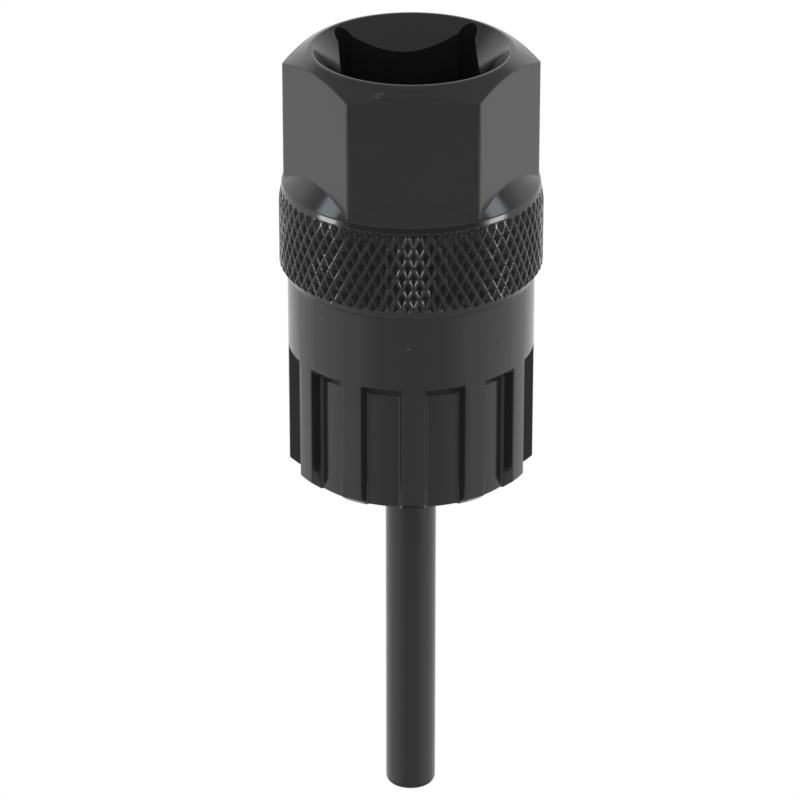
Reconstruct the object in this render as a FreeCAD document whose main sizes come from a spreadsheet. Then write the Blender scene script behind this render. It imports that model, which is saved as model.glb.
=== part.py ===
"""Cassette lockring tool: a splined steel body with a guide pin pressed into it.

The tool stands on the rim of its hex head, as it would on a bench, with the guide pin up. Its axis is Z and the
origin is on it, in the plane of the rim. Every piece is drawn with that axis along Y, the splined end face at 0
and the rim towards +Y, and its placement then stands it up. All sizes are in millimetres, in the sheet named
sizes.
"""

import FreeCAD, Part
import math
import os

import Sketcher

Vector = FreeCAD.Vector
Rotation = FreeCAD.Rotation
Placement = FreeCAD.Placement

doc = FreeCAD.newDocument("lockring_tool")

# Driving sizes
SIZES = [
    ("hex_flats", 21.0, "hex head, across flats"),
    ("head_length", 13.0, "rim down to the foot of the shoulder cone"),
    ("rim_land", 0.35, "flat ring between countersink and top chamfer"),
    ("head_chamfer_deg", 30.0, "top chamfer of the hex, from the plane of the rim"),
    ("sink_d", 18.5, "mouth of the countersink"),
    ("sink_deg", 90.0, "full angle of the countersink"),
    ("drive_square", 12.9, "square drive socket, across flats"),
    ("drive_depth", 16.0, "socket depth below the rim"),
    ("relief_radius", 1.0, "round relief in each corner of the socket"),
    ("relief_inset", 0.7, "centre of that relief inside both walls"),
    ("drive_turn_deg", 4.0, "how far the broached square is turned from the hex flats"),
    ("shoulder_deg", 45.0, "cone under the hex, from the axis"),
    ("collar_step", 0.75, "how far the crests of the knurl stand out from the neck"),
    ("crown_drop", 0.3, "how far the top of the collar lies inside those crests"),
    ("crown_length", 1.9, "swell of the collar from its top to its full diameter"),
    ("knurl_length", 6.3, "knurled collar at full diameter"),
    ("knurl_taper", 1.1, "length of the run-down from the collar to the neck"),
    ("knurl_count", 70, "diamonds round the collar"),
    ("knurl_pitch", 2.08, "one diamond to the next along the axis"),
    ("knurl_depth", 0.35, "from the crests of the net to the floors of its pits"),
    ("knurl_fade", 0.45, "where the pits run out at the upper edge"),
    ("knurl_lip", 0.08, "how far the plain collar stands out at both ends of the knurl"),
    ("knurl_base", 0.5, "metal of the knurled band below its pits"),
    ("plain_band", 0.5, "plain top of the collar above the knurl"),
    ("neck_d", 23.5, "plain neck and over the ribs"),
    ("neck_length", 7.4, "plain neck between the run-down and the grooves"),
    ("spline_length", 12.8, "ribs, from the end face to the top of the grooves"),
    ("rib_count", 12, "ribs round the splined end"),
    ("rib_width", 2.2, "width of one rib"),
    ("groove_depth", 1.15, "from the top of a rib to the groove floor"),
    ("runout_deg", 45.0, "slope at the closed end of each groove, from the axis"),
    ("rib_lead", 0.8, "length over which the ribs taper to the end face"),
    ("rib_lead_in", 1.0, "how far that taper brings them in"),
    ("well_d", 17.6, "bore of the splined end, clears the axle nut"),
    ("well_depth", 20.0, "depth of that bore"),
    ("well_chamfer", 0.5, "mouth of that bore"),
    ("pin_d", 4.9, "guide pin"),
    ("pin_seat_d", 5.4, "thicker end of the pin, which the hole in the web grips"),
    ("pin_seat_out", 0.3, "how far that thicker end stands out of the web"),
    ("pin_reach", 35.7, "how far the pin stands out of the end face"),
    ("pin_tip_radius", 0.7, "rounding of the pin's tip"),
    ("pin_recess", 0.4, "top of the pin below the socket floor"),
]

# How far a cutter's outline reaches past the metal, and how deep a joint between two features lies in it
OVERSHOOT = 1.0

# Corners of the drive socket
SOCKET_CORNERS = 4

# Sizes that follow from the driving ones
DERIVED = [
    ("knurl_d", "=neck_d + 2 * collar_step", "over the crests of the knurl"),
    ("crown_d", "=knurl_d - 2 * crown_drop", "top of the collar, at the foot of the shoulder cone"),
    ("knurl_low", "=spline_length + neck_length", "lower edge of the run-down"),
    ("knurl_start", "=knurl_low + knurl_taper", "lower edge of the full knurl"),
    ("knurl_end", "=knurl_start + knurl_length", "upper edge of the full knurl"),
    ("shoulder_foot", "=knurl_end + crown_length", "foot of the shoulder cone"),
    ("body_length", "=shoulder_foot + head_length", "end face to rim"),
    ("corner_radius", "=hex_flats / 2 / cos(30deg)", "corner of the hex from the axis"),
    ("rim_radius", "=sink_d / 2 + rim_land", "outer edge of the rim"),
    ("socket_floor", "=body_length - drive_depth", "floor of the drive socket"),
    ("knurl_floor", "=knurl_d / 2 - knurl_depth", "pits of the knurl from the axis"),
    ("knurl_swell", "=crown_drop / crown_length", "slope of the collar's top"),
    ("knurl_rise", "=collar_step / knurl_taper", "slope of the run-down"),
    ("band_foot", "=knurl_low + (knurl_floor - neck_d / 2) / knurl_rise", "lower end of the knurled band"),
    ("band_head", "=shoulder_foot - plain_band", "upper end of the knurled band"),
    ("band_head_radius", "=crown_d / 2 + knurl_swell * plain_band", "plain collar above the band"),
    ("band_core", "=crown_d / 2 - knurl_depth - knurl_base", "radius of the blank under the band"),
]

ALIASES = sorted((alias for alias, _, _ in SIZES + DERIVED), key=len, reverse=True)


def make_sheet():
    """Writes the driving and the derived sizes into one sheet, each with its alias."""
    sheet = doc.addObject("Spreadsheet::Sheet", "sizes")
    for row, (alias, value, note) in enumerate(SIZES + DERIVED, start=1):
        sheet.set(f"A{row}", alias)
        sheet.set(f"B{row}", str(value))
        sheet.set(f"C{row}", note)
        sheet.setAlias(f"B{row}", alias)
    doc.recompute()


def size(alias):
    """Reads one size from the sheet."""
    return float(doc.getObject("sizes").get(alias))


def bound(formula):
    """Gives a formula in the sheet's aliases as an expression that an object can hold."""
    words = formula.replace("(", "( ").replace(")", " )").split()
    return " ".join(f"sizes.{word}" if word in ALIASES else word for word in words)


def own_plane(body, role):
    """Finds one of a body's own origin planes or axes by its role."""
    return next(item for item in body.Origin.OriginFeatures if item.Role == role)


def new_sketch(body, name, role):
    """Starts a sketch on one of the body's origin planes."""
    sketch = body.newObject("Sketcher::SketchObject", name)
    sketch.AttachmentSupport = (own_plane(body, role), [""])
    sketch.MapMode = "FlatFace"
    return sketch


def fix(sketch, kind, target, formula):
    """Adds one constraint whose value follows a formula in the sheet's aliases."""
    value = float(sketch.evalExpression(bound(formula)))
    index = sketch.addConstraint(Sketcher.Constraint(kind, *target, value))
    sketch.setExpression(f"Constraints[{index}]", bound(formula))


def outline(sketch, corners):
    """Draws a closed outline. Each corner is a pair of formulas, across and along, from the origin."""
    places = [Vector(*(float(sketch.evalExpression(bound(part))) for part in corner), 0) for corner in corners]
    count = len(places)
    for k in range(count):
        sketch.addGeometry(Part.LineSegment(places[k], places[(k + 1) % count]), False)
    for k in range(count):
        sketch.addConstraint(Sketcher.Constraint("Coincident", k, 2, (k + 1) % count, 1))
    for k, (across, along) in enumerate(corners):
        fix(sketch, "DistanceX", (-1, 1, k, 1), across)
        fix(sketch, "DistanceY", (-1, 1, k, 1), along)


def turned(body, name, kind, corners):
    """Turns an outline round the tool's axis: kind is Revolution to add and Groove to cut."""
    sketch = new_sketch(body, f"{name}_profile", "XY_Plane")
    outline(sketch, corners)
    feature = body.newObject(f"PartDesign::{kind}", name)
    feature.Profile = sketch
    feature.ReferenceAxis = (sketch, ["V_Axis"])
    feature.Angle = 360
    doc.recompute()
    return feature


def stand_at(sketch, level):
    """Moves a sketch of the XZ plane along the tool's axis to a level given by a formula."""
    sketch.setExpression("AttachmentOffset.Base.z", f"-( {bound(level)} )")


def turn_about(item, holder, axis, angle):
    """Turns an object about an axis by a formula in degrees. holder is the placement that takes the turn."""
    degrees = float(item.evalExpression(bound(angle)))
    setattr(item, holder, Placement(getattr(item, holder).Base, Rotation(axis, degrees)))
    item.setExpression(f"{holder}.Rotation.Angle", bound(angle))


def pocket_down(body, name, sketch):
    """Cuts the drive socket's depth from the rim towards the splined end."""
    pocket = body.newObject("PartDesign::Pocket", name)
    pocket.Profile = sketch
    pocket.Reversed = True
    pocket.setExpression("Length", bound("drive_depth"))
    doc.recompute()
    return pocket


def stand_on_rim(piece):
    """Turns a piece with its drive end down and lifts it until the rim is at 0."""
    piece.Placement = Placement(Vector(0, 0, size("body_length")), Rotation(Vector(0, 1, -1), 180))
    piece.setExpression("Placement.Base.z", bound("body_length"))
    doc.recompute()


def around(body, name, feature, count):
    """Repeats a feature round the tool's axis and makes the result the body's tip."""
    pattern = body.newObject("PartDesign::PolarPattern", name)
    pattern.Originals = [feature]
    pattern.Axis = (own_plane(body, "Y_Axis"), [""])
    pattern.Angle = 360
    pattern.setExpression("Occurrences", bound(count))
    body.Tip = pattern
    doc.recompute()
    return pattern


# Splined tool body
def make_turned_body():
    """Models the steel body without its knurl: turned blank, hex head, bores, drive socket and spline."""
    body = doc.addObject("PartDesign::Body", "turned_body")

    hidden_radius = f"( hex_flats / 2 - {OVERSHOOT} )"
    hidden_level = f"shoulder_foot + ( crown_d / 2 - {hidden_radius} ) / tan( shoulder_deg * 1deg )"
    turned(body, "turned_blank", "Revolution", [
        ("0", "0"),
        ("neck_d / 2 - rib_lead_in", "0"),
        ("neck_d / 2", "rib_lead"),
        ("neck_d / 2", "knurl_low"),
        ("knurl_floor", "band_foot"),
        ("band_core", "band_foot"),
        ("band_core", "band_head"),
        ("band_head_radius", "band_head"),
        ("crown_d / 2", "shoulder_foot"),
        (hidden_radius, hidden_level),
        ("0", hidden_level),
    ])

    hexagon = new_sketch(body, "hex_outline", "XZ_Plane")
    half = "corner_radius / 2"
    flat = "hex_flats / 2"
    outline(hexagon, [
        ("corner_radius", "0"), (half, flat), (f"-( {half} )", flat),
        ("-( corner_radius )", "0"), (f"-( {half} )", f"-( {flat} )"), (half, f"-( {flat} )"),
    ])
    stand_at(hexagon, "shoulder_foot")
    head = body.newObject("PartDesign::Pad", "hex_head")
    head.Profile = hexagon
    head.Reversed = True
    head.setExpression("Length", bound("head_length"))
    doc.recompute()

    outside = f"corner_radius + {OVERSHOOT}"
    drop = f"( {outside} - rim_radius ) * tan( head_chamfer_deg * 1deg )"
    turned(body, "head_chamfer", "Groove", [
        ("rim_radius", "body_length"),
        (outside, "body_length"),
        (outside, f"body_length - {drop}"),
    ])
    turned(body, "countersink", "Groove", [
        ("0", "body_length"),
        ("sink_d / 2", "body_length"),
        ("0", "body_length - sink_d / 2 / tan( sink_deg / 2 * 1deg )"),
    ])

    square = new_sketch(body, "drive_outline", "XZ_Plane")
    side = "drive_square / 2"
    outline(square, [
        (side, side), (f"-( {side} )", side), (f"-( {side} )", f"-( {side} )"), (side, f"-( {side} )"),
    ])
    stand_at(square, "body_length")
    turn_about(square, "AttachmentOffset", Vector(0, 0, -1), "drive_turn_deg")
    pocket_down(body, "drive_socket", square)

    corner = new_sketch(body, "relief_outline", "XZ_Plane")
    inset = f"{side} - relief_inset"
    ring = corner.addGeometry(Part.Circle(Vector(1, 1, 0), Vector(0, 0, 1), 1), False)
    fix(corner, "Radius", (ring,), "relief_radius")
    fix(corner, "DistanceX", (-1, 1, ring, 3), inset)
    fix(corner, "DistanceY", (-1, 1, ring, 3), inset)
    stand_at(corner, "body_length")
    turn_about(corner, "AttachmentOffset", Vector(0, 0, -1), "drive_turn_deg")
    relief = pocket_down(body, "corner_relief", corner)
    around(body, "corner_reliefs", relief, f"{SOCKET_CORNERS}")

    turned(body, "axle_well", "Groove", [
        ("0", "0"),
        ("well_d / 2 + well_chamfer", "0"),
        ("well_d / 2", "well_chamfer"),
        ("well_d / 2", "well_depth"),
        ("0", "well_depth"),
    ])
    turned(body, "pin_hole", "Groove", [
        ("0", "well_depth"),
        ("pin_seat_d / 2", "well_depth"),
        ("pin_seat_d / 2", "socket_floor"),
        ("0", "socket_floor"),
    ])

    bottom = "neck_d / 2 - groove_depth"
    outside = f"neck_d / 2 + {OVERSHOOT}"
    slope = "tan( runout_deg * 1deg )"
    channel = new_sketch(body, "groove_profile", "XY_Plane")
    outline(channel, [
        (bottom, f"-{OVERSHOOT}"),
        (outside, f"-{OVERSHOOT}"),
        (outside, f"spline_length + {OVERSHOOT} / {slope}"),
        (bottom, f"spline_length - groove_depth / {slope}"),
    ])
    turn_about(channel, "AttachmentOffset", Vector(0, 1, 0), "180 / rib_count")
    groove = body.newObject("PartDesign::Groove", "spline_groove")
    groove.Profile = channel
    groove.ReferenceAxis = (channel, ["V_Axis"])
    groove.Midplane = True
    groove.setExpression("Angle", bound("360 / rib_count - 2 * asin( rib_width / neck_d ) / 1deg"))
    doc.recompute()
    around(body, "spline", groove, "rib_count")
    return body


def knurl_rings():
    """Lists the rings of the knurl from its foot up: level, radius of the crests, radius of the pits."""
    start, top = size("knurl_start"), size("band_head") - size("knurl_fade")
    rows = max(1, round((top - start) / (size("knurl_pitch") / 2)))
    foot_radius = size("knurl_floor") - size("knurl_lip")
    head_radius = size("band_head_radius") - size("knurl_lip")
    rings = [(size("band_foot"), foot_radius, foot_radius)]
    for row in range(rows + 1):
        level = start + (top - start) * row / rows
        swell = size("crown_d") / 2 + size("knurl_swell") * (size("shoulder_foot") - level)
        crest = min(size("knurl_d") / 2, swell)
        rings.append((level, crest, crest - size("knurl_depth")))
    rings.append((size("band_head"), head_radius, head_radius))
    return rings


def make_knurled_band():
    """Models the diamond knurl as a closed ring of small pits, which fills the channel in the blank.

    Each ring has two points for each diamond, a pit and a crest by turns, and the next ring is staggered by
    one point. Every diamond is a pit of four flat facets, whose edges are the crests of a raised net.
    """
    count = round(size("knurl_count"))
    turn = math.pi / count
    rings = []
    for number, (level, crest, pit) in enumerate(knurl_rings()):
        radii = [crest if (number + k) % 2 else pit for k in range(2 * count)]
        rings.append([Vector(r * math.sin(turn * k), level, -r * math.cos(turn * k))
                      for k, r in enumerate(radii)])
    facets = []
    for number in range(len(rings) - 1):
        low, high = rings[number], rings[number + 1]
        for k in range(2 * count):
            after = (k + 1) % (2 * count)
            corners = [low[k], low[after], high[after], high[k]]
            if (number + k) % 2:
                corners = corners[1:] + corners[:1]
            first, side, last, other = corners
            facets += [(first, side, other), (side, last, other)]
    facets += [rings[0], rings[-1]]
    faces = [Part.Face(Part.makePolygon([*facet, facet[0]])) for facet in facets]
    drum = Part.Solid(Part.makeShell(faces))
    if drum.Volume < 0:
        drum.reverse()
    length = size("band_head") - size("band_foot")
    core = Part.makeCylinder(size("band_core"), length, Vector(0, size("band_foot"), 0), Vector(0, 1, 0))
    band = doc.addObject("Part::Feature", "knurled_band")
    band.Shape = drum.cut(core)
    return band


def make_tool_body():
    """Joins the turned body and its knurled band, which are one piece of steel."""
    body = doc.addObject("Part::Fuse", "tool_body")
    body.Label = "tool_body"
    body.Base = make_turned_body()
    body.Tool = make_knurled_band()
    doc.recompute()
    return body


# Guide pin
def make_guide_pin():
    """Models the guide pin, held by its thicker end in the hole through the web of the body."""
    body = doc.addObject("PartDesign::Body", "guide_pin")
    body.Label = "guide_pin"
    shaft = turned(body, "pin_shaft", "Revolution", [
        ("0", "-( pin_reach )"),
        ("pin_d / 2", "-( pin_reach )"),
        ("pin_d / 2", "well_depth - pin_seat_out"),
        ("pin_seat_d / 2", "well_depth - pin_seat_out"),
        ("pin_seat_d / 2", "socket_floor - pin_recess"),
        ("0", "socket_floor - pin_recess"),
    ])
    tip_level = shaft.Shape.BoundBox.YMin
    rim = next(f"Edge{k}" for k, edge in enumerate(shaft.Shape.Edges, start=1)
               if edge.BoundBox.YMax < tip_level + 0.01 and edge.Length > 1)
    tip = body.newObject("PartDesign::Fillet", "pin_tip")
    tip.Base = (shaft, [rim])
    tip.setExpression("Radius", bound("pin_tip_radius"))
    doc.recompute()
    return body


make_sheet()
pieces = [make_tool_body(), make_guide_pin()]
for piece in pieces:
    stand_on_rim(piece)

# Checks, then one file for each piece
for item in doc.Objects:
    if "Invalid" in item.State or "Error" in item.State:
        raise RuntimeError(f"{item.Name} did not build: {item.State}")
for piece in pieces:
    if piece.Shape.isNull() or not piece.Shape.isValid():
        raise RuntimeError(f"{piece.Label} has no valid shape")

os.makedirs("parts", exist_ok=True)
for piece in pieces:
    piece.Shape.exportStep(f"parts/{piece.Label}.step")
    print(piece.Label, len(piece.Shape.Solids), "solid,", round(piece.Shape.Volume), "cubic mm")
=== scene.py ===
"""Looks of a cassette lockring tool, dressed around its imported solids.

The tool stands on its rim on a pale floor, with its axis along Z and the guide pin up. The picture shows it the
other way up and from the rim's side, so the camera hangs head down below the floor, which is clear from there.

Sizes are in millimetres, in the tool's own terms: across is to the picture's right, level counts from the
splined end face towards the rim, and towards is out of the picture. stood() and facing() turn them into the
frame. Round the tool an angle of 0 points out of the picture and grows to the right. A profile point is a pair:
distance from the axis and level along it.
"""

from __future__ import annotations

import logging
import math
from collections.abc import Sequence
from dataclasses import dataclass, field
from enum import Enum

import bmesh
import bpy
from mathutils import Matrix, Vector, noise

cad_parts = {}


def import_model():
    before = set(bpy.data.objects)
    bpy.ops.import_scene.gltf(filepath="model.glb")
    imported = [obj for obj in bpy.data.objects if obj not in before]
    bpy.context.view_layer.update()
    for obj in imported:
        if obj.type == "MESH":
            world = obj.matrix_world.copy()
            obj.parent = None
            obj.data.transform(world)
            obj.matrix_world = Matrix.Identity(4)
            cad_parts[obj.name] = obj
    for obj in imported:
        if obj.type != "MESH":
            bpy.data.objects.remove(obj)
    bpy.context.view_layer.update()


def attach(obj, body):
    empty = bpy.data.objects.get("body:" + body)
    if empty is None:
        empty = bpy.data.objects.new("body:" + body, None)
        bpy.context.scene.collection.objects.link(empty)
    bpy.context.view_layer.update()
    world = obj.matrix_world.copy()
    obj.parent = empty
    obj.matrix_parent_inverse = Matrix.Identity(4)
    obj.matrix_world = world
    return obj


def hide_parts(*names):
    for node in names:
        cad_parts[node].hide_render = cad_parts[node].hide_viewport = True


MM = 0.001
FULL_TURN = 2 * math.pi
PICTURE_PIXELS = 800
NOISE_SPAN = (0.35, 0.65)
SIDES = ((-1, "left"), (1, "right"))

# Share of an edge that a rounded corner may take, where the next corner is rounded too and where it isn't.
SHARED_EDGE = 0.45
FREE_EDGE = 0.95

# Keeps a row of the knurl from falling on the band's end.
ROW_MARGIN = 1e-6

LOG = logging.getLogger("lockring_tool")


class Slot(Enum):
    """Material slots of the record."""

    BODY = "body_coating"
    PIN = "pin_coating"


class Node(Enum):
    """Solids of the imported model."""

    BODY = "tool_body"
    PIN = "guide_pin"


@dataclass(frozen=True)
class Levels:
    """Lengths along the tool, from the splined end face up to the rim."""

    spline: float = 12.8
    neck: float = 7.4
    run_down: float = 1.1
    knurl: float = 6.3
    crown: float = 1.9
    head: float = 13.0
    socket: float = 16.0

    @property
    def collar_foot(self) -> float:
        """Where the collar's lower chamfer meets the neck."""
        return self.spline + self.neck

    @property
    def knurl_start(self) -> float:
        """Lower edge of the knurl at full diameter."""
        return self.collar_foot + self.run_down

    @property
    def shoulder(self) -> float:
        """Foot of the shoulder cone."""
        return self.knurl_start + self.knurl + self.crown

    @property
    def rim(self) -> float:
        """Top of the tool."""
        return self.shoulder + self.head

    @property
    def socket_floor(self) -> float:
        """Floor of the drive socket."""
        return self.rim - self.socket


LEVELS = Levels()


def facing(across: float, along: float, towards: float) -> Vector:
    """Gives a direction of the tool's own terms in the frame."""
    return Vector((-across, -towards, -along))


def stood(across: float, level: float, towards: float) -> Vector:
    """Gives a place of the tool's own terms in the frame, in metres."""
    return facing(across, level - LEVELS.rim, towards) * MM


@dataclass(frozen=True)
class Corner:
    """One corner of a profile: distance from the axis, level, and how it is rounded."""

    radius: float
    level: float
    easing: float = 0.0
    steps: int = 0


def eased(corners: Sequence[Corner]) -> list[tuple[float, float]]:
    """Rounds the corners of an open profile.

    Args:
        corners: The profile's corners in order. A corner with steps gets that many pieces of curve.

    Returns:
        Profile points, always as many for as many corners and steps.
    """
    points = []
    for number, corner in enumerate(corners):
        place = Vector((corner.radius, corner.level))
        if not corner.steps:
            points.append(tuple(place))
            continue
        before = Vector((corners[number - 1].radius, corners[number - 1].level)) - place
        after = Vector((corners[number + 1].radius, corners[number + 1].level)) - place
        shares = [SHARED_EDGE if corners[near].steps else FREE_EDGE for near in (number - 1, number + 1)]
        room = min(shares[0] * before.length, shares[1] * after.length)
        bend = math.pi - before.angle(after, math.pi)
        reach = min(corner.easing * math.tan(bend / 2), room)
        start = place + before.normalized() * reach
        end = place + after.normalized() * reach
        for step in range(corner.steps + 1):
            share = step / corner.steps
            first = start.lerp(place, share)
            points.append(tuple(first.lerp(place.lerp(end, share), share)))
    return points


class SkinMesh:
    """A closed skin made of rings round the tool's axis."""

    def __init__(self) -> None:
        """Starts an empty skin."""
        self.places: list[tuple[float, float, float]] = []
        self.faces: list[tuple[int, ...]] = []

    def ring(self, angles: Sequence[float], points: Sequence[tuple[float, float]]) -> list[int]:
        """Adds one ring of vertices.

        Args:
            angles: Angle of each vertex round the axis.
            points: Distance from the axis and level of each vertex.

        Returns:
            The numbers of the new vertices.
        """
        first = len(self.places)
        for angle, (radius, level) in zip(angles, points):
            self.places.append(tuple(stood(radius * math.sin(angle), level, radius * math.cos(angle))))
        return list(range(first, len(self.places)))

    def strip(self, low: Sequence[int], high: Sequence[int]) -> None:
        """Joins two rings of as many vertices with quads."""
        count = len(low)
        for k in range(count):
            after = (k + 1) % count
            self.faces.append((low[k], low[after], high[after], high[k]))

    def stitch(self, low: Sequence[int], low_angles: Sequence[float], high: Sequence[int],
               high_angles: Sequence[float]) -> None:
        """Joins two rings that have different vertices with triangles, by their angles.

        Args:
            low: Vertices of one ring.
            low_angles: Their angles, rising, all within one turn.
            high: Vertices of the other ring.
            high_angles: Their angles, rising, all within one turn.
        """
        low_ends = [*low_angles[1:], low_angles[0] + FULL_TURN]
        high_ends = [*high_angles[1:], high_angles[0] + FULL_TURN]
        i = j = 0
        while i < len(low) or j < len(high):
            a, b = low[i % len(low)], high[j % len(high)]
            if j == len(high) or (i < len(low) and low_ends[i] <= high_ends[j]):
                self.faces.append((a, low[(i + 1) % len(low)], b))
                i += 1
            else:
                self.faces.append((a, high[(j + 1) % len(high)], b))
                j += 1

    def cap(self, ring: Sequence[int], level: float) -> None:
        """Closes a ring with a fan to a point on the axis."""
        self.places.append(tuple(stood(0, level, 0)))
        centre = len(self.places) - 1
        for k, vertex in enumerate(ring):
            self.faces.append((vertex, ring[(k + 1) % len(ring)], centre))

    def columns(self, angles: Sequence[float], profiles: Sequence[Sequence[tuple[float, float]]]) -> list[list[int]]:
        """Adds rings from one profile per angle and joins each ring to the next.

        Args:
            angles: Angle of each profile.
            profiles: As many profiles, all with as many points.

        Returns:
            The rings, first to last.
        """
        rings = [self.ring(angles, row) for row in zip(*profiles)]
        for low, high in zip(rings, rings[1:]):
            self.strip(low, high)
        return rings

    def finished(self, name: str, sharp_angle: float) -> bpy.types.Object:
        """Makes the mesh object.

        Args:
            name: Name of the piece.
            sharp_angle: Edges that bend more than this stay sharp, in radians.

        Returns:
            The linked object, smooth shaded.
        """
        mesh = bpy.data.meshes.new(name)
        mesh.from_pydata(self.places, [], self.faces)
        shape = bmesh.new()
        shape.from_mesh(mesh)
        bmesh.ops.recalc_face_normals(shape, faces=shape.faces)
        shape.to_mesh(mesh)
        shape.free()
        mesh.shade_smooth()
        mesh.set_sharp_from_angle(angle=sharp_angle)
        piece = bpy.data.objects.new(name, mesh)
        bpy.context.scene.collection.objects.link(piece)
        weighted = piece.modifiers.new("weighted_normals", "WEIGHTED_NORMAL")
        weighted.keep_sharp = True
        return piece


@dataclass
class HexHead:
    """Hex head with its top chamfer, and the shoulder cone that scallops its foot."""

    flats: float = 21.0
    foot: float = LEVELS.shoulder
    top: float = LEVELS.rim
    rim_radius: float = 9.6
    land_radius: float = 9.34
    chamfer: float = math.radians(30)
    edge_easing: float = 0.5
    rim_easing: float = 0.9
    brow_easing: float = 0.18
    arch_easing: float = 0.12
    crown_radius: float = 12.2
    crown_easing: float = 0.25
    flat_pieces: int = 16
    edge_pieces: int = 6

    def outline(self) -> tuple[list[float], list[float]]:
        """Works out the hexagon with its rounded corners.

        Returns:
            Angles and distances from the axis, once round.
        """
        half = self.flats / 2
        apothem = half - self.edge_easing
        sixth = math.pi / 6
        tangent = math.atan(apothem * math.tan(sixth) / half)
        centre = apothem / math.cos(sixth)
        side: list[tuple[float, float]] = []
        for k in range(self.flat_pieces):
            across = math.tan(tangent) * (2 * k / self.flat_pieces - 1)
            angle = math.atan(across)
            side.append((angle, half / math.cos(angle)))
        for k in range(self.edge_pieces):
            angle = tangent + 2 * (sixth - tangent) * k / self.edge_pieces
            off = sixth - angle
            reach = self.edge_easing ** 2 - (centre * math.sin(off)) ** 2
            side.append((angle, centre * math.cos(off) + math.sqrt(max(reach, 0.0))))
        angles = [angle + 2 * sixth * turn for turn in range(6) for angle, _ in side]
        return angles, [radius for _ in range(6) for _, radius in side]

    def profile(self, reach: float, band_head: Corner) -> list[tuple[float, float]]:
        """Works out the profile at one angle, from the rim down to the knurled band.

        Args:
            reach: Distance of the hexagon from the axis at this angle.
            band_head: Where the knurled band starts.

        Returns:
            Profile points.
        """
        brow = self.top - (reach - self.rim_radius) * math.tan(self.chamfer)
        shoulder = self.foot + self.crown_radius - reach
        return eased([
            Corner(self.land_radius, self.top),
            Corner(self.rim_radius, self.top, self.rim_easing, steps=4),
            Corner(reach, brow, self.brow_easing, steps=4),
            Corner(reach, (brow + shoulder) / 2),
            Corner(reach, shoulder, self.arch_easing, steps=3),
            Corner(self.crown_radius, self.foot, self.crown_easing, steps=4),
            band_head,
        ])


@dataclass
class KnurledCollar:
    """Collar with a rolled diamond knurl, a raised net round small pits, chamfered at its lower edge."""

    radius: float = 12.5
    crown_radius: float = 12.2
    foot: float = LEVELS.shoulder
    crown_length: float = LEVELS.crown
    plain_band: float = 0.5
    full_start: float = LEVELS.knurl_start
    low: float = LEVELS.collar_foot
    neck_radius: float = 11.75
    count: int = 70
    pitch: float = 2.07
    depth: float = 0.35
    fade: float = 0.45
    crest_flat: float = 0.18
    pit_flat: float = 0.08
    unevenness: float = 0.2
    patches_around: float = 6.0
    patches_along: float = 0.7
    pieces: int = 10

    @property
    def run_down(self) -> float:
        """Slope of the lower chamfer."""
        return (self.radius - self.neck_radius) / (self.full_start - self.low)

    @property
    def head(self) -> Corner:
        """Upper end of the band."""
        swell = (self.radius - self.crown_radius) / self.crown_length
        return Corner(self.crown_radius + swell * self.plain_band, self.foot - self.plain_band)

    @property
    def floor(self) -> Corner:
        """Lower end of the band, where the chamfer meets the grooves."""
        radius = self.radius - self.depth
        return Corner(radius, self.low + (radius - self.neck_radius) / self.run_down)

    def surface(self, angle: float, level: float) -> float:
        """Works out the knurl's distance from the axis.

        Args:
            angle: Angle round the axis.
            level: Level along it.

        Returns:
            Distance from the axis.
        """
        swell = (self.radius - self.crown_radius) / self.crown_length
        envelope = min(self.radius, self.crown_radius + swell * (self.foot - level))
        across = angle / FULL_TURN * self.count
        along = (level - self.full_start) / self.pitch
        inside = 1 - 2 * max(abs((across + along) % 1 - 0.5), abs((across - along) % 1 - 0.5))
        sunk = (inside - self.crest_flat) / (1 - self.crest_flat - self.pit_flat)
        sunk = min(max(sunk, 0.0), 1.0)
        ending = min(max((self.head.level - level) / self.fade, 0.0), 1.0)
        patch = noise.noise(Vector((math.sin(angle) * self.patches_around, level * self.patches_along,
                                    math.cos(angle) * self.patches_around)))
        depth = self.depth * ending * (1 + self.unevenness * patch)
        radius = envelope - depth * sunk
        return min(radius, self.neck_radius + self.run_down * (level - self.low))

    def rings(self, skin: SkinMesh) -> tuple[list[float], list[list[int]]]:
        """Builds the knurled band.

        Args:
            skin: Skin that takes the rings.

        Returns:
            Angles of the band's vertices, and its rings from the upper end down.
        """
        around = self.count * self.pieces
        angles = [FULL_TURN * k / around for k in range(around)]
        step = self.pitch / self.pieces
        top, bottom = self.head.level, self.floor.level
        levels = [top]
        shortest = step / 4
        number = math.floor((top - self.full_start) / step - ROW_MARGIN)
        while self.full_start + number * step > bottom + shortest:
            levels.append(self.full_start + number * step)
            number -= 1
        levels.append(bottom)
        rings = [skin.ring(angles, [(self.surface(angle, level), level) for angle in angles]) for level in levels]
        for row, (low, high) in enumerate(zip(rings, rings[1:])):
            middle = (levels[row] + levels[row + 1]) / 2
            for k in range(around):
                after = (k + 1) % around
                # Each small face is cut along the ridge that crosses it.
                across = (k + 0.5) / self.pieces
                along = (middle - self.full_start) / self.pitch
                falls = math.floor(2 * across) % 2 != math.floor(2 * along) % 2
                if falls:
                    skin.faces.append((low[k], low[after], high[k]))
                    skin.faces.append((low[after], high[after], high[k]))
                else:
                    skin.faces.append((low[k], low[after], high[after]))
                    skin.faces.append((low[k], high[after], high[k]))
        return angles, rings


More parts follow.
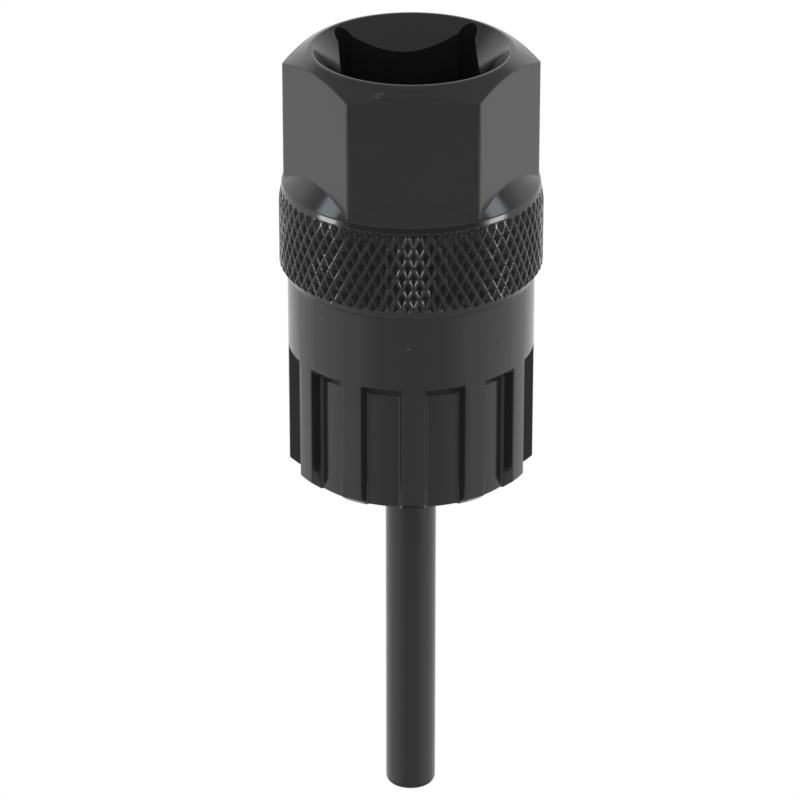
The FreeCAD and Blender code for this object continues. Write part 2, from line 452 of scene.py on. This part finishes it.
@dataclass
class SplinedEnd:
    """Plain neck, and the twelve ribs below it."""

    radius: float = 11.75
    length: float = LEVELS.spline
    ribs: int = 12
    rib_width: float = 2.2
    groove_depth: float = 1.15
    draft: float = 0.05
    edge_easing: float = 0.12
    root_easing: float = 0.35
    run_out_easing: float = 0.15
    least_run_out: float = 0.36
    neck_easing: float = 0.6
    lead: float = 0.8
    lead_in: float = 1.0
    end_easing: float = 0.1
    face_radius: float = 10.0

    def outline(self) -> tuple[list[float], list[float]]:
        """Works out the ribs and grooves.

        Returns:
            Angles and distances from the axis, once round.
        """
        floor = self.radius - self.groove_depth
        middle = (self.radius + floor) / 2
        rib_half = math.asin(self.rib_width / 2 / self.radius) * middle
        root = math.asin((self.rib_width / 2 + self.draft) / floor) * middle
        end = math.pi / self.ribs * middle
        half = eased([
            Corner(0, self.radius),
            Corner(rib_half / 2, self.radius),
            Corner(rib_half, self.radius, self.edge_easing, steps=3),
            Corner(root, floor, self.root_easing, steps=5),
            Corner(root + (end - root) / 2, floor),
            Corner(end, floor),
        ])
        period = [(across / middle, radius) for across, radius in half]
        pitch = FULL_TURN / self.ribs
        period += [(pitch - angle, radius) for angle, radius in reversed(period[1:-1])]
        angles = [angle + pitch * rib for rib in range(self.ribs) for angle, _ in period]
        return angles, [radius for _ in range(self.ribs) for _, radius in period]

    def profile(self, reach: float, start: Corner, low: float) -> list[tuple[float, float]]:
        """Works out the profile at one angle, from the collar down to the end face.

        Args:
            reach: Distance of the ribs and grooves from the axis at this angle.
            start: Lower end of the knurled band.
            low: Level at which the collar's chamfer reaches the neck.

        Returns:
            Profile points.
        """
        depth = self.radius - reach
        foot = self.length - max(depth, self.least_run_out)
        face_edge = self.radius - self.lead_in
        taper = self.lead * (reach - face_edge) / self.lead_in
        return eased([
            Corner(start.radius, start.level),
            Corner(self.radius, low, self.neck_easing, steps=4),
            Corner(self.radius, (low + self.length) / 2),
            Corner(self.radius, self.length, self.edge_easing, steps=2),
            Corner(reach, foot, self.run_out_easing, steps=3),
            Corner(reach, max(taper, self.end_easing), self.end_easing, steps=2),
            Corner(min(face_edge, reach - self.end_easing), 0, self.end_easing, steps=2),
            Corner(self.face_radius, 0),
        ])


@dataclass
class AxleWell:
    """Bore of the splined end and the hole through the web that grips the pin."""

    radius: float = 8.8
    depth: float = 20.0
    chamfer: float = 0.5
    root_easing: float = 0.3
    edge_easing: float = 0.06
    hole_radius: float = 2.7
    around: int = 96

    def profile(self, face_radius: float, socket_floor: float, socket_start: float) -> list[tuple[float, float]]:
        """Works out the profile from the end face through the well to the drive socket's floor.

        Args:
            face_radius: Distance of the ribs' end face from the axis.
            socket_floor: Level of the drive socket's floor.
            socket_start: Distance from the axis at which that floor starts.

        Returns:
            Profile points.
        """
        return eased([
            Corner((face_radius + self.radius + self.chamfer) / 2, 0),
            Corner(self.radius + self.chamfer, 0, self.edge_easing, steps=2),
            Corner(self.radius, self.chamfer, self.edge_easing, steps=2),
            Corner(self.radius, self.depth, self.root_easing, steps=4),
            Corner(self.hole_radius, self.depth, self.edge_easing, steps=2),
            Corner(self.hole_radius, socket_floor, self.edge_easing, steps=2),
            Corner(socket_start, socket_floor),
        ])


@dataclass
class DriveSocket:
    """Broached square with round corner reliefs under a countersink."""

    square: float = 12.9
    floor: float = LEVELS.socket_floor
    relief_radius: float = 1.0
    relief_inset: float = 0.7
    turn: float = math.radians(4)
    sink_radius: float = 9.25
    sink_easing: float = 0.18
    lip_easing: float = 0.12
    floor_easing: float = 0.3
    floor_start: float = 3.4
    floor_ring: float = 3.9
    side_pieces: int = 12
    relief_pieces: int = 16

    def outline(self) -> tuple[list[float], list[float]]:
        """Works out the square with its reliefs.

        Returns:
            Angles and distances from the axis, once round.
        """
        half = self.square / 2
        centre = half - self.relief_inset
        meet = centre - math.sqrt(self.relief_radius ** 2 - self.relief_inset ** 2)
        edge = math.atan2(meet, half)
        eighth = math.pi / 4
        offset = centre * math.sqrt(2)
        side: list[tuple[float, float]] = []
        for k in range(self.side_pieces):
            angle = math.atan(math.tan(edge) * (2 * k / self.side_pieces - 1))
            side.append((angle, half / math.cos(angle)))
        for k in range(self.relief_pieces + 1):
            angle = edge + 2 * (eighth - edge) * k / (self.relief_pieces + 1)
            off = eighth - angle
            reach = self.relief_radius ** 2 - (offset * math.sin(off)) ** 2
            round_relief = offset * math.cos(off) + math.sqrt(max(reach, 0.0))
            side.append((angle, round_relief))
        angles = [angle + 2 * eighth * turn + self.turn for turn in range(4) for angle, _ in side]
        return angles, [radius for _ in range(4) for _, radius in side]

    def profile(self, reach: float, top: float, land_radius: float) -> list[tuple[float, float]]:
        """Works out the profile at one angle, from the socket's floor up to the rim.

        Args:
            reach: Distance of the socket's wall from the axis at this angle.
            top: Level of the rim.
            land_radius: Middle of the rim's flat ring.

        Returns:
            Profile points.
        """
        return eased([
            Corner(self.floor_ring, self.floor),
            Corner(reach, self.floor, self.floor_easing, steps=3),
            Corner(reach, (top + self.floor) / 2),
            Corner(reach, top - (self.sink_radius - reach), self.lip_easing, steps=3),
            Corner(self.sink_radius, top, self.sink_easing, steps=3),
            Corner(land_radius, top),
        ])


@dataclass
class ToolBody:
    """The steel body: one closed skin from the rim down the outside and back up through the bores."""

    head: HexHead = field(default_factory=HexHead)
    collar: KnurledCollar = field(default_factory=KnurledCollar)
    spline: SplinedEnd = field(default_factory=SplinedEnd)
    well: AxleWell = field(default_factory=AxleWell)
    socket: DriveSocket = field(default_factory=DriveSocket)
    sharp_angle: float = math.radians(28)

    def build(self) -> bpy.types.Object:
        """Builds the body's mesh."""
        skin = SkinMesh()
        head_angles, head_reach = self.head.outline()
        head = skin.columns(head_angles, [self.head.profile(reach, self.collar.head) for reach in head_reach])

        band_angles, band = self.collar.rings(skin)
        skin.stitch(head[-1], head_angles, band[0], band_angles)

        rib_angles, rib_reach = self.spline.outline()
        ribs = skin.columns(rib_angles, [
            self.spline.profile(reach, self.collar.floor, self.collar.low) for reach in rib_reach
        ])
        skin.stitch(band[-1], band_angles, ribs[0], rib_angles)

        well_angles = [FULL_TURN * k / self.well.around for k in range(self.well.around)]
        bore = self.well.profile(self.spline.face_radius, self.socket.floor, self.socket.floor_start)
        well = skin.columns(well_angles, [bore] * self.well.around)
        skin.stitch(ribs[-1], rib_angles, well[0], well_angles)

        socket_angles, socket_reach = self.socket.outline()
        socket = skin.columns(socket_angles, [
            self.socket.profile(reach, self.head.top, self.head.land_radius) for reach in socket_reach
        ])
        skin.stitch(well[-1], well_angles, socket[0], socket_angles)
        skin.stitch(socket[-1], socket_angles, head[0], head_angles)
        return skin.finished("steel_body", self.sharp_angle)


@dataclass
class GuidePin:
    """Round pin pressed into the web of the body."""

    radius: float = 2.45
    reach: float = 35.7
    tip_easing: float = 0.7
    seat_radius: float = 2.7
    seat_start: float = 19.7
    top: float = LEVELS.socket_floor - 0.4
    edge_easing: float = 0.2
    core: float = 1.2
    around: int = 96
    sharp_angle: float = math.radians(38)

    def build(self) -> bpy.types.Object:
        """Builds the pin's mesh."""
        skin = SkinMesh()
        angles = [FULL_TURN * k / self.around for k in range(self.around)]
        profile = eased([
            Corner(self.core, -self.reach),
            Corner(self.radius, -self.reach, self.tip_easing, steps=8),
            Corner(self.radius, self.seat_start),
            Corner(self.seat_radius, self.seat_start),
            Corner(self.seat_radius, self.top, self.edge_easing, steps=3),
            Corner(self.core, self.top),
        ])
        rings = skin.columns(angles, [profile] * self.around)
        skin.cap(rings[0], -self.reach)
        skin.cap(rings[-1], self.top)
        return skin.finished("pressed_pin", self.sharp_angle)


class ShaderTree:
    """Small helper that adds nodes to a tree and links them."""

    def __init__(self, tree: bpy.types.NodeTree) -> None:
        """Works on an existing tree."""
        self.tree = tree

    def add(self, kind: str, settings: dict[str, object] | None = None, **inputs: object) -> bpy.types.Node:
        """Adds a node.

        Args:
            kind: The node's type name without its ShaderNode prefix.
            settings: Properties of the node.
            **inputs: Values or output sockets, by the input's name with underscores for spaces.

        Returns:
            The new node.
        """
        node = self.tree.nodes.new(f"ShaderNode{kind}")
        for name, value in (settings or {}).items():
            setattr(node, name, value)
        for name, value in inputs.items():
            self.put(node.inputs[name.replace("_", " ")], value)
        return node

    def put(self, socket: bpy.types.NodeSocket, value: object) -> None:
        """Links a socket to another, or sets its value."""
        if isinstance(value, bpy.types.NodeSocket):
            self.tree.links.new(value, socket)
        else:
            socket.default_value = value

    def math(self, operation: str, *values: object) -> bpy.types.NodeSocket:
        """Adds a Math node and gives its output."""
        node = self.add("Math", {"operation": operation})
        for socket, value in zip(node.inputs, values):
            self.put(socket, value)
        return node.outputs[0]

    def mix(self, share: object, first: object, second: object) -> bpy.types.NodeSocket:
        """Mixes two values and gives the result."""
        node = self.add("Mix", {"data_type": "FLOAT"})
        for name, value in (("Factor", share), ("A", first), ("B", second)):
            self.put(node.inputs[name], value)
        return node.outputs["Result"]

    def ramp(self, value: object, start: float, end: float, low: object = 0.0,
             high: object = 1.0) -> bpy.types.NodeSocket:
        """Turns a value smoothly from one level to another.

        Args:
            value: The value.
            start: Where the change starts.
            end: Where it ends.
            low: Result before the start.
            high: Result after the end.

        Returns:
            The result.
        """
        node = self.add("MapRange", {"interpolation_type": "SMOOTHSTEP"}, Value=value, From_Min=start, From_Max=end,
                        To_Min=low, To_Max=high)
        return node.outputs["Result"]

    def vector(self, operation: str, first: object, second: object | None = None) -> bpy.types.Node:
        """Adds a Vector Math node and gives it."""
        node = self.add("VectorMath", {"operation": operation})
        self.put(node.inputs[0], first)
        if second is not None:
            self.put(node.inputs[1], second)
        return node

    def colours(self, share: object, first: object, second: object) -> bpy.types.NodeSocket:
        """Mixes two colours and gives the result."""
        node = self.add("Mix", {"data_type": "RGBA"})
        for name, value in (("Factor", share), ("A", first), ("B", second)):
            self.put(node.inputs[name], value)
        return node.outputs["Result"]

    def blend(self, share: object, first: bpy.types.Node, second: bpy.types.Node) -> bpy.types.Node:
        """Mixes two shaders by a share, or adds them where there is none."""
        node = self.add("AddShader" if share is None else "MixShader")
        if share is not None:
            self.put(node.inputs[0], share)
        self.put(node.inputs[-2], first.outputs[0])
        self.put(node.inputs[-1], second.outputs[0])
        return node

    def place(self, group: bpy.types.NodeTree, **inputs: object) -> bpy.types.Node:
        """Adds a shared group with its own values."""
        node = self.add("Group", {"node_tree": group})
        for name, value in inputs.items():
            self.put(node.inputs[name.replace("_", " ")], value)
        return node


def new_group(name: str, inputs: dict[str, tuple[str, object]], outputs: dict[str, str]) -> tuple[
        bpy.types.NodeTree, ShaderTree, bpy.types.Node, bpy.types.Node]:
    """Starts a shared shader group.

    Args:
        name: The group's name.
        inputs: Socket type and default value of each input.
        outputs: Socket type of each output.

    Returns:
        The group, a helper for its tree, and its input and output nodes.
    """
    group = bpy.data.node_groups.new(name, "ShaderNodeTree")
    for label, (kind, value) in inputs.items():
        socket = group.interface.new_socket(label, in_out="INPUT", socket_type=f"NodeSocket{kind}")
        socket.default_value = value
    for label, kind in outputs.items():
        group.interface.new_socket(label, in_out="OUTPUT", socket_type=f"NodeSocket{kind}")
    entry = group.nodes.new("NodeGroupInput")
    result = group.nodes.new("NodeGroupOutput")
    return group, ShaderTree(group), entry, result


def coating_grain_group() -> bpy.types.NodeTree:
    """Builds the fine mottling of an oxide coating, as a value and as relief."""
    group, tree, entry, result = new_group(
        "coating_grain",
        {"Grain": ("Float", 9000.0), "Cloud": ("Float", 220.0), "Cloud Share": ("Float", 0.6),
         "Low": ("Float", 0.1), "High": ("Float", 0.2)},
        {"Roughness": "Float", "Relief": "Float"},
    )
    place = tree.add("TexCoord").outputs["Object"]
    fine = tree.add("TexNoise", Vector=place, Scale=entry.outputs["Grain"], Detail=3.0)
    broad = tree.add("TexNoise", Vector=place, Scale=entry.outputs["Cloud"], Detail=4.0, Roughness=0.6)
    mixed = tree.mix(entry.outputs["Cloud Share"], fine.outputs["Fac"], broad.outputs["Fac"])
    spread = tree.add("MapRange", Value=mixed, From_Min=NOISE_SPAN[0], From_Max=NOISE_SPAN[1],
                      To_Min=entry.outputs["Low"], To_Max=entry.outputs["High"])
    tree.put(result.inputs["Roughness"], spread.outputs["Result"])
    tree.put(result.inputs["Relief"], fine.outputs["Fac"])
    return group


def dust_group() -> bpy.types.NodeTree:
    """Builds a mask of a few tiny specks of dust."""
    group, tree, entry, result = new_group(
        "dust_specks",
        {"Spacing": ("Float", 420.0), "Size": ("Float", 0.03), "Share": ("Float", 0.1)},
        {"Mask": "Float"},
    )
    place = tree.add("TexCoord").outputs["Object"]
    cells = tree.add("TexVoronoi", {"feature": "F1"}, Vector=place, Scale=entry.outputs["Spacing"])
    near = tree.math("LESS_THAN", cells.outputs["Distance"], entry.outputs["Size"])
    pick = tree.add("SeparateColor", Color=cells.outputs["Color"])
    kept = tree.math("LESS_THAN", pick.outputs["Red"], entry.outputs["Share"])
    tree.put(result.inputs["Mask"], tree.math("MULTIPLY", near, kept))
    return group


def mark_group() -> bpy.types.NodeTree:
    """Builds the mask of one small mark with a ragged edge."""
    group, tree, entry, result = new_group(
        "round_mark",
        {"Centre": ("Vector", (0.0, 0.0, 0.0)), "Radius": ("Float", MM), "Grain": ("Float", 4000.0),
         "Raggedness": ("Float", 0.8), "Core": ("Float", 1.0), "Edge": ("Float", 1.5)},
        {"Mask": "Float"},
    )
    place = tree.add("TexCoord").outputs["Object"]
    ragged = tree.add("TexNoise", Vector=place, Scale=entry.outputs["Grain"], Detail=2.0)
    away = tree.vector("DISTANCE", place, entry.outputs["Centre"])
    share = tree.math("DIVIDE", away.outputs["Value"], entry.outputs["Radius"])
    reach = tree.math("ADD", share, tree.math("MULTIPLY", ragged.outputs["Fac"], entry.outputs["Raggedness"]))
    mask = tree.ramp(reach, entry.outputs["Core"], entry.outputs["Edge"], 1.0, 0.0)
    tree.put(result.inputs["Mask"], mask)
    return group


@dataclass(frozen=True)
class Mark:
    """A small mark on the tool: what it is, where, how large, how strong, and whether it is pale or dark."""

    name: str
    across: float
    level: float
    towards: float
    radius: float
    strength: float = 1.0
    pale: bool = True


BODY_MARKS = (
    # Pale patch on the top chamfer: lightens the base colour towards pale grey in a small ragged spot, with a stronger
    # core.
    Mark("worn_patch", across=-3.3, level=41.8, towards=10.2, radius=0.36, strength=0.1),
    Mark("worn_patch_core", across=-2.9, level=41.95, towards=10.1, radius=0.2, strength=0.16),
    Mark("rib_speck_high", across=1.42, level=9.39, towards=11.66, radius=0.1),
    Mark("rib_speck_low", across=1.42, level=4.74, towards=11.66, radius=0.1),
    Mark("neck_speck_middle", across=-0.5, level=17.1, towards=11.74, radius=0.08, strength=0.6),
    Mark("neck_speck_left", across=-8.6, level=18.5, towards=8.0, radius=0.08, strength=0.6),
    # Painted shade: a near-black spot on the neck where a small dent would lie in shade.
    Mark("neck_dent_shade", across=7.94, level=16.27, towards=8.66, radius=0.17, pale=False),
)


@dataclass(frozen=True)
class BlackOxide:
    """Black coating over steel."""

    name: str
    colour: tuple[float, float, float]
    roughness: tuple[float, float]
    grain: float = 9000.0
    relief: float = 0.02
    refraction: float = 1.5
    dust_share: float = 0.1
    # Pale grey that the dust specks and the pale marks take.
    pale_spot_colour: tuple[float, float, float] = (0.35, 0.34, 0.32)
    # Near-black colour of the painted dent shade.
    dent_shade_colour: tuple[float, float, float] = (0.002, 0.002, 0.002)
    marks: tuple[Mark, ...] = ()

    def marked(self, tree: ShaderTree, group: bpy.types.NodeTree, pale: bool) -> object:
        """Joins the masks of the pale or of the dark marks.

        Args:
            tree: Tree that takes the nodes.
            group: Shared group of one small mark.
            pale: Whether the pale marks or the dark ones are wanted.

        Returns:
            The joined mask, or 0 where there is no such mark.
        """
        total: object = 0.0
        for mark in self.marks:
            if mark.pale == pale:
                spot = tree.place(group, Centre=stood(mark.across, mark.level, mark.towards), Radius=mark.radius * MM)
                spot.name = mark.name
                total = tree.math("MAXIMUM", total, tree.math("MULTIPLY", spot.outputs["Mask"], mark.strength))
        return total

    def material(self, grain: bpy.types.NodeTree, dust: bpy.types.NodeTree,
                 mark: bpy.types.NodeTree) -> bpy.types.Material:
        """Builds the material.

        Args:
            grain: Shared group of the coating's grain.
            dust: Shared group of dust specks.
            mark: Shared group of one small mark.

        Returns:
            The material.
        """
        material = bpy.data.materials.new(self.name)
        material.use_nodes = True
        tree = ShaderTree(material.node_tree)
        shader = material.node_tree.nodes["Principled BSDF"]
        shader.inputs["IOR"].default_value = self.refraction
        mottle = tree.place(grain, Grain=self.grain, Low=self.roughness[0], High=self.roughness[1])
        specks = tree.place(dust, Share=self.dust_share)
        # Lightens the base colour at the dust specks and at the pale marks.
        pale_spot_mask = tree.math("MAXIMUM", specks.outputs["Mask"], self.marked(tree, mark, pale=True))
        pale_spotted = tree.colours(pale_spot_mask, (*self.colour, 1.0), (*self.pale_spot_colour, 1.0))
        # Painted shade: the dark marks take a near-black colour.
        dent_shaded = tree.colours(self.marked(tree, mark, pale=False), pale_spotted, (*self.dent_shade_colour, 1.0))
        tree.put(shader.inputs["Base Color"], dent_shaded)
        tree.put(shader.inputs["Roughness"], mottle.outputs["Roughness"])
        bump = tree.add("Bump", Strength=self.relief, Distance=MM, Height=mottle.outputs["Relief"])
        tree.put(shader.inputs["Normal"], bump.outputs["Normal"])
        return material


@dataclass
class Camera:
    """Camera at the photograph's viewing angle, fitted to the tool's outline there."""

    distance: float = 441.8
    pitch: float = 0.4445
    turn: float = math.radians(-0.95)
    aim_level: float = LEVELS.rim - 35.15
    slide_right: float = -1.06
    slide_up: float = -0.96
    focal_pixels: float = 4590.8
    sensor: float = 36.0
    nearest: float = 10.0

    def build(self) -> None:
        """Places the camera and makes it the scene's own."""
        outward = facing(math.sin(self.turn), 0, math.cos(self.turn))
        right = facing(math.cos(self.turn), 0, -math.sin(self.turn))
        towards_rim = facing(0, 1, 0)
        forward = -outward * math.cos(self.pitch) - towards_rim * math.sin(self.pitch)
        up = towards_rim * math.cos(self.pitch) - outward * math.sin(self.pitch)
        aim = stood(0, self.aim_level, 0) + (right * self.slide_right + up * self.slide_up) * MM
        data = bpy.data.cameras.new("camera")
        data.sensor_width = self.sensor
        data.lens = self.focal_pixels * self.sensor / PICTURE_PIXELS
        data.clip_start = self.nearest * MM
        camera = bpy.data.objects.new("camera", data)
        turned = Matrix((right, up, -forward)).transposed().to_4x4()
        turned.translation = aim - forward * self.distance * MM
        camera.matrix_world = turned
        bpy.context.scene.collection.objects.link(camera)
        bpy.context.scene.camera = camera


@dataclass(frozen=True)
class Lamp:
    """One lamp, which stands on both sides of the tool. It lies face up on the floor, or else faces the shoulder."""

    name: str
    across: float
    level: float
    towards: float
    length: float
    width: float
    radiance: float
    colour: tuple[float, float, float] = (1.0, 1.0, 1.0)
    lies: bool = False

    def build(self, side: int, side_name: str) -> None:
        """Sets the lamp on one side. It shows in reflections only.

        Args:
            side: -1 for the left and 1 for the right.
            side_name: The side's name.
        """
        data = bpy.data.lights.new(f"{self.name}_{side_name}", "AREA")
        data.shape = "RECTANGLE"
        data.size = self.length * MM
        data.size_y = self.width * MM
        data.color = self.colour
        data.energy = self.radiance * data.size * data.size_y * math.pi
        source = bpy.data.objects.new(data.name, data)
        place = stood(side * self.across, self.level, self.towards)
        away = facing(0, 1, 0) if self.lies else place - stood(0, LEVELS.shoulder, 0)
        source.matrix_world = Matrix.Translation(place) @ away.to_track_quat("Z", "Y").to_matrix().to_4x4()
        source.visible_camera = False
        source.visible_diffuse = False
        bpy.context.scene.collection.objects.link(source)


SIDE_LAMP = Lamp("side_lamp", across=285.0, level=LEVELS.shoulder - 39.0, towards=71.0, length=94.0, width=40.0,
                 radiance=10.0)
SHOULDER_LAMP = Lamp("shoulder_lamp", across=21.6, level=LEVELS.rim - 0.2, towards=6.8, length=8.0, width=6.0,
                     radiance=3.5, colour=(0.82, 0.92, 1.0), lies=True)


@dataclass
class Studio:
    """Pale floor, soft surroundings and the lamps.

    A fade is a pair: where a change of light starts and where it ends, as a share of a direction's length, or in
    millimetres from the axis for near_fade.
    """

    floor_gap: float = 0.02
    floor_size: float = 3000.0
    floor_tone: float = 0.5
    floor_glow: float = 0.65
    floor_fill: float = 0.5
    mirrored_steep: float = 0.45
    mirrored_shallow: float = 1.1
    mirrored_ahead: float = 0.12
    shallow_fade: tuple[float, float] = (0.4, 0.6)
    front_fade: tuple[float, float] = (-0.6, -0.36)
    near_fade: tuple[float, float] = (25.0, 60.0)
    ahead: float = 0.5
    ahead_low: float = 0.12
    low_fade: tuple[float, float] = (0.22, 0.36)
    beside: float = 0.95
    beside_fade: tuple[float, float] = (0.35, 0.9)
    behind: float = 1.0
    behind_fade: tuple[float, float] = (-0.05, 0.1)
    overhead: float = 0.4
    overhead_fade: tuple[float, float] = (0.5, 0.75)
    backdrop: float = 1.0
    lamps: tuple[Lamp, ...] = (SIDE_LAMP, SHOULDER_LAMP)

    def in_front(self, tree: ShaderTree) -> bpy.types.NodeSocket:
        """Masks what lies ahead of the tool and away from it, on the camera's side."""
        spread = tree.vector("MULTIPLY", tree.add("TexCoord").outputs["Object"], (1.0, 1.0, 0.0)).outputs[0]
        heading = tree.add("SeparateXYZ", Vector=tree.vector("NORMALIZE", spread).outputs[0])
        ahead = tree.ramp(heading.outputs["Y"], *self.front_fade, 1.0, 0.0)
        reach = tree.vector("LENGTH", spread).outputs["Value"]
        return tree.math("MULTIPLY", ahead, tree.ramp(reach, *(end * MM for end in self.near_fade)))

    def floor_mesh(self) -> bpy.types.Object:
        """Lays the floor's square."""
        half = self.floor_size / 2 * MM
        level = -self.floor_gap * MM
        mesh = bpy.data.meshes.new("floor")
        corners = [(-half, -half, level), (half, -half, level), (half, half, level), (-half, half, level)]
        mesh.from_pydata(corners, [], [(0, 1, 2, 3)])
        floor = bpy.data.objects.new("floor", mesh)
        bpy.context.scene.collection.objects.link(floor)
        return floor

    def floor(self) -> None:
        """Gives the floor its finish. It keeps the tool's shadow from above and is clear from below."""
        floor = self.floor_mesh()
        material = bpy.data.materials.new("pale_floor")
        material.use_nodes = True
        tree = ShaderTree(material.node_tree)
        material.node_tree.nodes.remove(material.node_tree.nodes["Principled BSDF"])
        rays = tree.add("LightPath")
        matte = tree.add("BsdfDiffuse", Color=(self.floor_tone, self.floor_tone, self.floor_tone, 1.0))
        glow = tree.add("Emission", Strength=tree.mix(rays.outputs["Is Camera Ray"], self.floor_fill, self.floor_glow))
        seen = tree.blend(None, matte, glow)
        shallow = tree.mix(self.in_front(tree), self.mirrored_shallow, self.mirrored_ahead)
        slant = tree.add("LayerWeight").outputs["Facing"]
        mirrored = tree.add("Emission", Strength=tree.ramp(slant, *self.shallow_fade, self.mirrored_steep, shallow))
        reflected = tree.math("MAXIMUM", rays.outputs["Is Glossy Ray"], rays.outputs["Is Transmission Ray"])
        above = tree.blend(reflected, seen, mirrored)
        below = tree.add("NewGeometry").outputs["Backfacing"]
        both = tree.blend(below, above, tree.add("BsdfTransparent"))
        tree.put(material.node_tree.nodes["Material Output"].inputs["Surface"], both.outputs[0])
        floor.data.materials.append(material)

    def surroundings(self) -> None:
        """Sets the world: soft light, paler beside and behind the tool, and white to the camera."""
        world = bpy.data.worlds.new("studio")
        world.use_nodes = True
        bpy.context.scene.world = world
        tree = ShaderTree(world.node_tree)
        background = world.node_tree.nodes["Background"]
        direction = tree.add("SeparateXYZ", Vector=tree.add("TexCoord").outputs["Generated"])
        sideways = tree.math("ABSOLUTE", direction.outputs["X"])
        beside = tree.ramp(sideways, *self.beside_fade, self.ahead, self.beside)
        low = tree.ramp(direction.outputs["Z"], *self.low_fade, 1.0, 0.0)
        ahead = tree.mix(tree.math("MULTIPLY", low, self.in_front(tree)), beside, self.ahead_low)
        behind = tree.ramp(direction.outputs["Y"], *self.behind_fade)
        around = tree.mix(behind, ahead, self.behind)
        light = tree.mix(tree.ramp(direction.outputs["Z"], *self.overhead_fade), around, self.overhead)
        seen = tree.mix(tree.add("LightPath").outputs["Is Camera Ray"], light, self.backdrop)
        tree.put(background.inputs["Strength"], seen)
        background.inputs["Color"].default_value = (1.0, 1.0, 1.0, 1.0)

    def build(self) -> None:
        """Builds the whole studio."""
        self.floor()
        self.surroundings()
        for lamp in self.lamps:
            for side, side_name in SIDES:
                lamp.build(side, side_name)


def dress(piece: bpy.types.Object, material: bpy.types.Material, node: Node) -> None:
    """Gives a piece its finish and puts it in its solid's place.

    Args:
        piece: The piece.
        material: Its finish.
        node: The solid that it replaces.
    """
    piece.data.materials.append(material)
    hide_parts(node.value)
    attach(piece, "root")
    LOG.info("%s: %d faces, stands for %s", piece.name, len(piece.data.polygons), node.value)


def main() -> None:
    """Builds the dressed tool, its studio and its camera."""
    logging.basicConfig(level=logging.INFO, format="%(name)s: %(message)s")
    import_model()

    Camera().build()
    Studio().build()

    grain = coating_grain_group()
    dust = dust_group()
    mark = mark_group()
    body_finish = BlackOxide("glossy_black_oxide", (0.024, 0.024, 0.0255), (0.1, 0.18), marks=BODY_MARKS)
    pin_finish = BlackOxide("satin_black_oxide", (0.026, 0.026, 0.0275), (0.15, 0.26))
    dress(ToolBody().build(), body_finish.material(grain, dust, mark), Node.BODY)
    dress(GuidePin().build(), pin_finish.material(grain, dust, mark), Node.PIN)

    scene = bpy.context.scene
    scene.view_settings.view_transform = "Standard"


if __name__ == "__main__":
    main()
